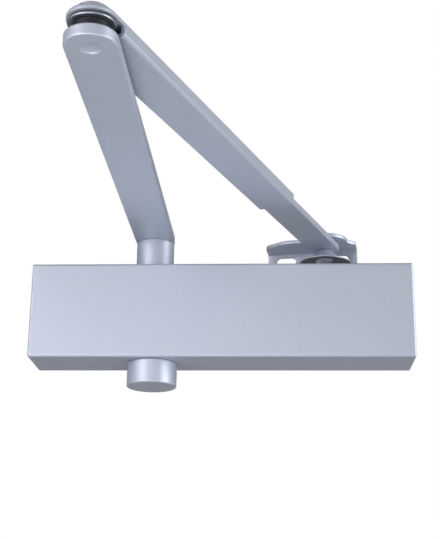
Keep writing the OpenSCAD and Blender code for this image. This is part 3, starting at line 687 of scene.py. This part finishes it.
def makeShoe(values):
    # one sheet, cut flat with its slots and then bent down along its back
    thick, back = values["thick"], values["back"]
    bendAt = back - values["bendInside"]
    bendRadius = values["bendInside"] + thick / 2
    bendLength = bendRadius * math.pi / 2
    sheetEnd = bendAt + bendLength + values["height"] - thick - values["bendInside"]
    noseStart = 180 + math.degrees(math.asin(values["wingFront"] / values["nose"]))
    corner = values["corner"]
    rim = softCorners([(values["nose"], 0, 0), (values["right"], values["shoulder"], corner),
                       (values["right"], sheetEnd, corner), (-values["left"], sheetEnd, corner),
                       (-values["left"], values["shoulder"], 2 * corner),
                       (-values["wingLeft"], -values["wingFront"], 2 * corner),
                       (-values["nose"], -values["wingFront"], 0)])
    rim += arcPoints(0, 0, values["nose"], noseStart, 355, 32)
    outlines = [rim, arcPoints(0, 0, values["bore"], 0, 355, 71)]
    slotY = bendAt + bendLength + values["slotDrop"] - values["bendInside"]
    for side in (-1, 1):
        slotX = (values["right"] - values["left"] + side * values["slotSpan"]) / 2
        straight = (values["slotLength"] - values["slotWidth"]) / 2
        outlines.append(arcPoints(slotX + straight, slotY, values["slotWidth"] / 2, -90, 90, 16)
                        + arcPoints(slotX - straight, slotY, values["slotWidth"] / 2, 90, 270, 16))
    mesh = flatSheet(outlines, thick, values["edge"])
    for k in range(9):
        bmesh.ops.bisect_plane(mesh, geom=mesh.verts[:] + mesh.edges[:] + mesh.faces[:],
                               plane_co=(0, bendAt + bendLength * k / 8, 0), plane_no=(0, 1, 0))
    low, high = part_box("shoe")
    bendZ = high.z - thick - values["bendInside"]
    pivot = joints["shoe_turn"]["pos_m"]
    place = standAt(pivot[0], pivot[1], 0, math.radians(values["turn"]))
    for vert in mesh.verts:
        x, y, off = vert.co
        angle = min(max((y - bendAt) / bendLength, 0), 1) * math.pi / 2
        radius = bendRadius + off
        past = max(y - bendAt - bendLength, 0)
        vert.co = place @ Vector((x, min(y, bendAt) + radius * math.sin(angle),
                                  bendZ + radius * math.cos(angle) - past))
    finishPiece("shoeBent", mesh, silverPaint, "shoe", "silver_paint", "shoe")


makeShoe(shoe)

pivot = {
    "neck": 4 * mm, "top": 6.5 * mm, "topHeight": 1.8 * mm, "foot": 6 * mm, "footHeight": 2 * mm,
    "bore": 4.05 * mm, "cupNeck": 5.3 * mm, "cupRoot": 10.6 * mm, "cupRootHeight": 3.4 * mm,
    "cupEdge": 1 * mm, "well": 6.6 * mm, "wellHeight": 5.6 * mm, "wellFoot": 2.4 * mm,
    "lip": 8 * mm, "lipHeight": 2 * mm, "paintedShadeFrom": -0.2,      # faces that look down more than this get a painted shade
}


def makePivot(values):
    low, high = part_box("pivot_stud")
    middle = centreOf("pivot_stud")
    place = standAt(middle.x, middle.y, 0)
    seat, foot = high.z - values["topHeight"], low.z + values["footHeight"]
    stud = lathe([(0, low.z, 0), (values["foot"], low.z, 0.9 * mm), (values["foot"], foot, 0.4 * mm),
                  (values["neck"], foot, 0), (values["neck"], seat, 0), (values["top"], seat, 0.2 * mm),
                  (values["top"], high.z, 1.4 * mm), (0, high.z, 0)], place)
    finishPiece("pivotStudHeaded", stud, metalFor("pivot_stud", "plated"), "shoe", "plated", "pivot_stud")

    low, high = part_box("pivot_cup")
    rim = (high.x - low.x) / 2
    well, wellTop = values["well"], low.z + values["wellHeight"]
    cup = lathe([(values["bore"], high.z, 0.2 * mm), (values["cupNeck"], high.z, 0.5 * mm),
                 (values["cupRoot"], low.z + values["cupRootHeight"], 1.8 * mm),
                 (rim, low.z + values["cupEdge"], 0.4 * mm), (rim, low.z, 0.3 * mm),
                 (values["lip"], low.z + values["lipHeight"], 0.6 * mm),
                 (well, low.z + values["wellFoot"], 0.3 * mm),
                 (well, wellTop, 0.4 * mm), (values["bore"], wellTop, 0)], place, hollow=True)
    piece = finishPiece("pivotCupSpun", cup, silverPaint, "shoe", "silver_paint", "pivot_cup")
    piece.data.materials.append(metalFor("pivot_cup", "shaded"))      # painted shade: a darker metal for the faces that look down
    # painted shade: every face that looks down takes the darker second material
    for face in piece.data.polygons:
        face.material_index = int(face.normal.z < values["paintedShadeFrom"])
    makeFlatRing("pivot_washer", "pivotWasherRing", "shoe", {"bore": values["bore"], "soft": 0.15 * mm})


makePivot(pivot)
print("shoe and pivot made")

studio = {
    "floorDrop": 700 * mm,    # below the object
    "floorSize": 12.0,
    "world": 0.2,
    "backdrop": 1.0,
    "floorGlow": 0.55,        # added to what the camera sees of the floor
    "floorColour": (0.82, 0.82, 0.83),
    "floorRough": 0.6,
    "lampsAim": (0, -0.1, 0.03),
}

lamps = {
    # name: place, size across and up, power, colour
    "leftBox": ((-1.35, -0.9, 0.12), (1.0, 1.2), 5.5, (1.0, 0.95, 1.0)),
    "nearLeft": ((-0.85, -1.2, 0.1), (0.5, 0.9), 6.3, (1.0, 0.955, 1.0)),
    "rightBox": ((1.5, -0.45, 0.1), (1.1, 1.2), 20.0, (0.97, 0.99, 1.0)),
    "frontBox": ((0.0, -2.3, 0.55), (2.4, 1.0), 5.6, (0.97, 1.0, 1.0)),
    "lowBox": ((-0.12, -0.52, -0.22), (0.36, 0.2), 0.75, (0.95, 1.0, 1.0)),
}


def makeLamp(name, place, size, power, colour, target):
    data = bpy.data.lights.new(name, "AREA")
    data.shape = "RECTANGLE"
    data.size, data.size_y = size
    data.energy = power
    data.color = colour
    lamp = bpy.data.objects.new(name, data)
    lamp.visible_camera = False
    lamp.location = place
    lamp.rotation_mode = "QUATERNION"
    lamp.rotation_quaternion = (target - Vector(place)).to_track_quat("-Z", "Y")
    bpy.context.scene.collection.objects.link(lamp)


def makeStudio(values):
    low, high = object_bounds()
    half = values["floorSize"] / 2
    mesh = bpy.data.meshes.new("floor")
    level = low.z - values["floorDrop"]
    corners = [(x * half, y * half, level) for x, y in ((-1, -1), (1, -1), (1, 1), (-1, 1))]
    mesh.from_pydata(corners, [], [(0, 1, 2, 3)])
    floor = bpy.data.objects.new("floor", mesh)
    bpy.context.scene.collection.objects.link(floor)
    material, tree, shader = startMaterial("paleFloor", values["floorColour"], 0.0, values["floorRough"])
    seen = addNode(tree, "LightPath").outputs["Is Camera Ray"]
    shader.inputs["Emission Color"].default_value = (1, 1, 1, 1)
    tree.links.new(maths(tree, "MULTIPLY", seen, values["floorGlow"]), shader.inputs["Emission Strength"])
    clear = addNode(tree, "BsdfTransparent").outputs[0]
    behind = addNode(tree, "NewGeometry").outputs["Backfacing"]
    both = addNode(tree, "MixShader", {0: behind, 1: shader.outputs[0], 2: clear})
    tree.links.new(both.outputs[0], tree.nodes["Material Output"].inputs["Surface"])
    wear(floor, material)
    floor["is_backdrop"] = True

    world = bpy.data.worlds.new("studio")
    world.use_nodes = True
    tree = world.node_tree
    tree.nodes.clear()
    end = tree.nodes.new("ShaderNodeOutputWorld")
    seen = addNode(tree, "Background", {"Color": (1, 1, 1, 1), "Strength": values["backdrop"]})
    soft = addNode(tree, "Background", {"Color": (0.97, 0.98, 1.0, 1), "Strength": values["world"]})
    path = addNode(tree, "LightPath")
    both = addNode(tree, "MixShader", {0: path.outputs["Is Camera Ray"], 1: soft.outputs[0],
                                       2: seen.outputs[0]})
    tree.links.new(both.outputs[0], end.inputs["Surface"])
    bpy.context.scene.world = world


makeStudio(studio)
for name, (place, size, power, colour) in lamps.items():
    makeLamp(name, place, size, power, colour, Vector(studio["lampsAim"]))
bpy.context.scene.view_settings.view_transform = "Standard"
print("studio made")
